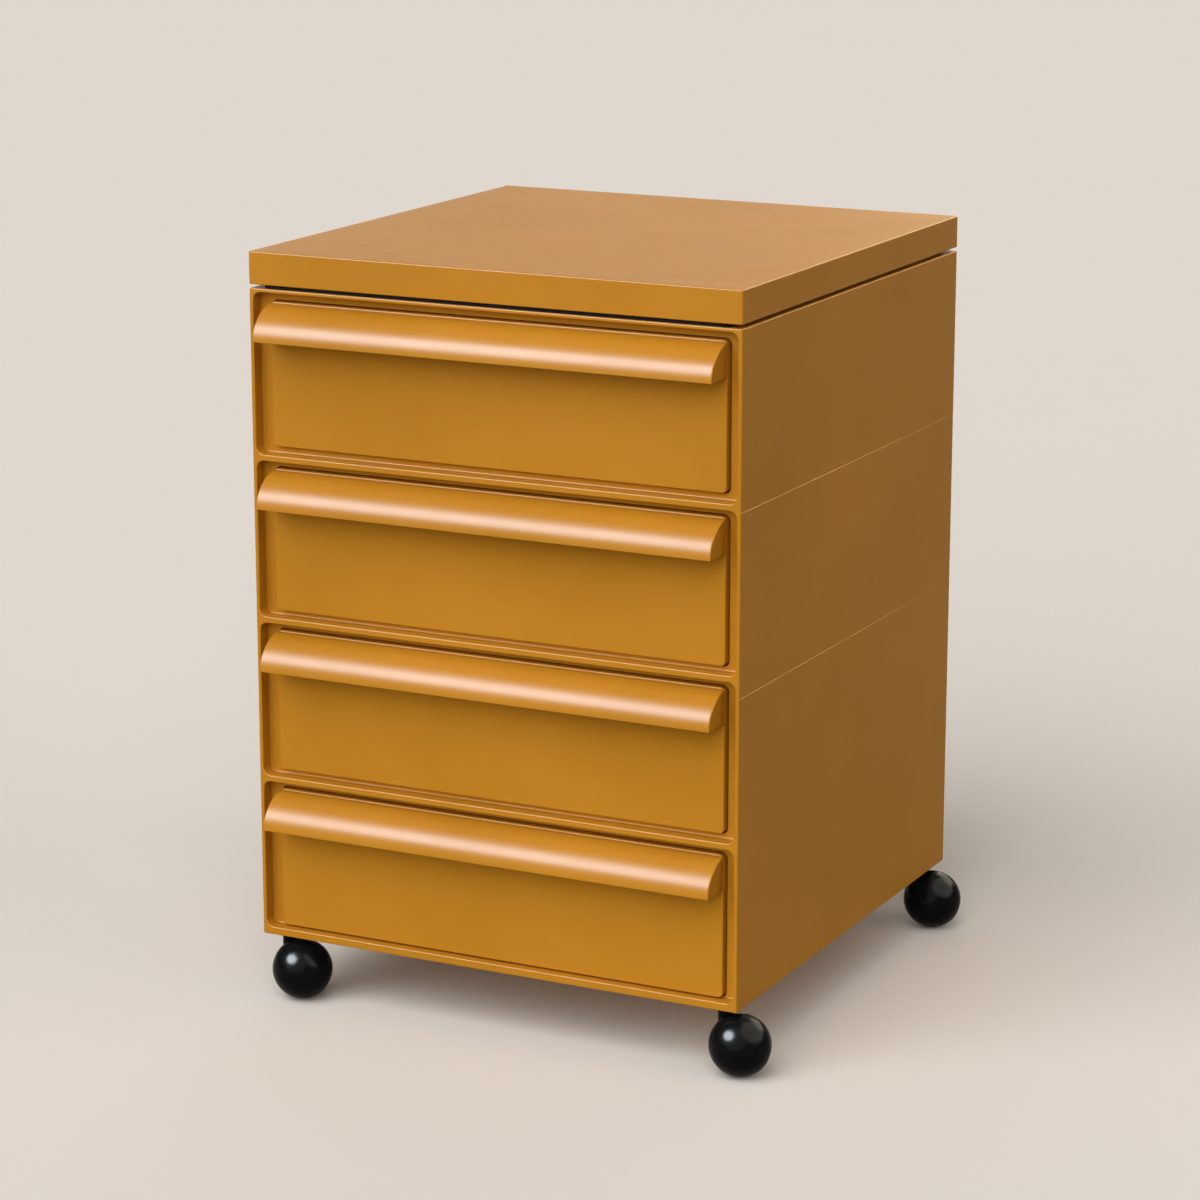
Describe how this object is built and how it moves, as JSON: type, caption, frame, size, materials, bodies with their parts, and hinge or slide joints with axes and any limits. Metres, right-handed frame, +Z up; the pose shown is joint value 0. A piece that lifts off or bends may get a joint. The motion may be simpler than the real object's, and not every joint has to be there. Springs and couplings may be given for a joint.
{
  "type": "mobile drawer cabinet",
  "caption": "Low square cabinet of stacked plastic housings with shallow drawers, full-width rounded hood pulls, a flat top on a shadow gap, and black ball casters.",
  "frame": {"origin": "on the floor, under the centre of the part's bounding box with the drawers shut", "axes": "+Z up, drawers open towards -Y, +X to the right of someone facing the drawers"},
  "size_m": [0.45, 0.4522, 0.6141],
  "materials": {
    "shell": "satin moulded plastic, ochre",
    "dark_plastic": "matte black moulding",
    "caster_black": "polished black",
    "natural_plastic": "natural white moulding",
    "soft_rubber": "matte",
    "steel": "zinc plated"
  },
  "bodies": {
    "cabinet": {"cover": "shell", "cover_spacer": "dark_plastic", "cover_screws": "steel", "housing_top": "shell", "housing_middle": "shell", "housing_bottom": "shell", "upper_pegs": "natural_plastic", "lower_pegs": "natural_plastic", "runner_screws": "steel", "stop_buffers": "soft_rubber", "plate_screws": "steel", "thrust_washers": "natural_plastic", "grip_rings": "steel", "runner_1_left": "dark_plastic", "runner_1_right": "dark_plastic", "runner_2_left": "dark_plastic", "runner_2_right": "dark_plastic", "runner_3_left": "dark_plastic", "runner_3_right": "dark_plastic", "runner_4_left": "dark_plastic", "runner_4_right": "dark_plastic", "caster_plate_front_left": "steel", "pivot_pin_front_left": "steel", "caster_plate_front_right": "steel", "pivot_pin_front_right": "steel", "caster_plate_rear_left": "steel", "pivot_pin_rear_left": "steel", "caster_plate_rear_right": "steel", "pivot_pin_rear_right": "steel"},
    "drawer_1": {"front_1": "shell", "pull_1": "shell", "tray_1": "shell", "pull_screws_1": "steel"},
    "drawer_2": {"front_2": "shell", "pull_2": "shell", "tray_2": "shell", "pull_screws_2": "steel"},
    "drawer_3": {"front_3": "shell", "pull_3": "shell", "tray_3": "shell", "pull_screws_3": "steel"},
    "drawer_4": {"front_4": "shell", "pull_4": "shell", "tray_4": "shell", "pull_screws_4": "steel"},
    "caster_front_left": {"caster_body_front_left": "caster_black", "axle_front_left": "steel"},
    "wheel_front_left": {"wheel_front_left": "caster_black"},
    "caster_front_right": {"caster_body_front_right": "caster_black", "axle_front_right": "steel"},
    "wheel_front_right": {"wheel_front_right": "caster_black"},
    "caster_rear_left": {"caster_body_rear_left": "caster_black", "axle_rear_left": "steel"},
    "wheel_rear_left": {"wheel_rear_left": "caster_black"},
    "caster_rear_right": {"caster_body_rear_right": "caster_black", "axle_rear_right": "steel"},
    "wheel_rear_right": {"wheel_rear_right": "caster_black"}
  },
  "joints": [
    {"name": "drawer_1_slide", "type": "slide", "parent": "cabinet", "child": "drawer_1", "axis": [0, -1, 0], "range_m": [0, 0.3]},
    {"name": "drawer_2_slide", "type": "slide", "parent": "cabinet", "child": "drawer_2", "axis": [0, -1, 0], "range_m": [0, 0.3]},
    {"name": "drawer_3_slide", "type": "slide", "parent": "cabinet", "child": "drawer_3", "axis": [0, -1, 0], "range_m": [0, 0.3]},
    {"name": "drawer_4_slide", "type": "slide", "parent": "cabinet", "child": "drawer_4", "axis": [0, -1, 0], "range_m": [0, 0.3]},
    {"name": "caster_front_left_swivel", "type": "hinge", "parent": "cabinet", "child": "caster_front_left", "pos_m": [-0.209, -0.1886, 0.045], "axis": [0, 0, 1], "continuous": true},
    {"name": "wheel_front_left_spin", "type": "hinge", "parent": "caster_front_left", "child": "wheel_front_left", "pos_m": [-0.193, -0.1961, 0.025], "axis": [0, 1, 0], "continuous": true},
    {"name": "caster_front_right_swivel", "type": "hinge", "parent": "cabinet", "child": "caster_front_right", "pos_m": [0.184, -0.1886, 0.045], "axis": [0, 0, 1], "continuous": true},
    {"name": "wheel_front_right_spin", "type": "hinge", "parent": "caster_front_right", "child": "wheel_front_right", "pos_m": [0.2, -0.1961, 0.025], "axis": [0, 1, 0], "continuous": true},
    {"name": "caster_rear_left_swivel", "type": "hinge", "parent": "cabinet", "child": "caster_rear_left", "pos_m": [-0.209, 0.2094, 0.045], "axis": [0, 0, 1], "continuous": true},
    {"name": "wheel_rear_left_spin", "type": "hinge", "parent": "caster_rear_left", "child": "wheel_rear_left", "pos_m": [-0.193, 0.2019, 0.025], "axis": [0, 1, 0], "continuous": true},
    {"name": "caster_rear_right_swivel", "type": "hinge", "parent": "cabinet", "child": "caster_rear_right", "pos_m": [0.184, 0.2094, 0.045], "axis": [0, 0, 1], "continuous": true},
    {"name": "wheel_rear_right_spin", "type": "hinge", "parent": "caster_rear_right", "child": "wheel_rear_right", "pos_m": [0.2, 0.2019, 0.025], "axis": [0, 1, 0], "continuous": true}
  ]
}
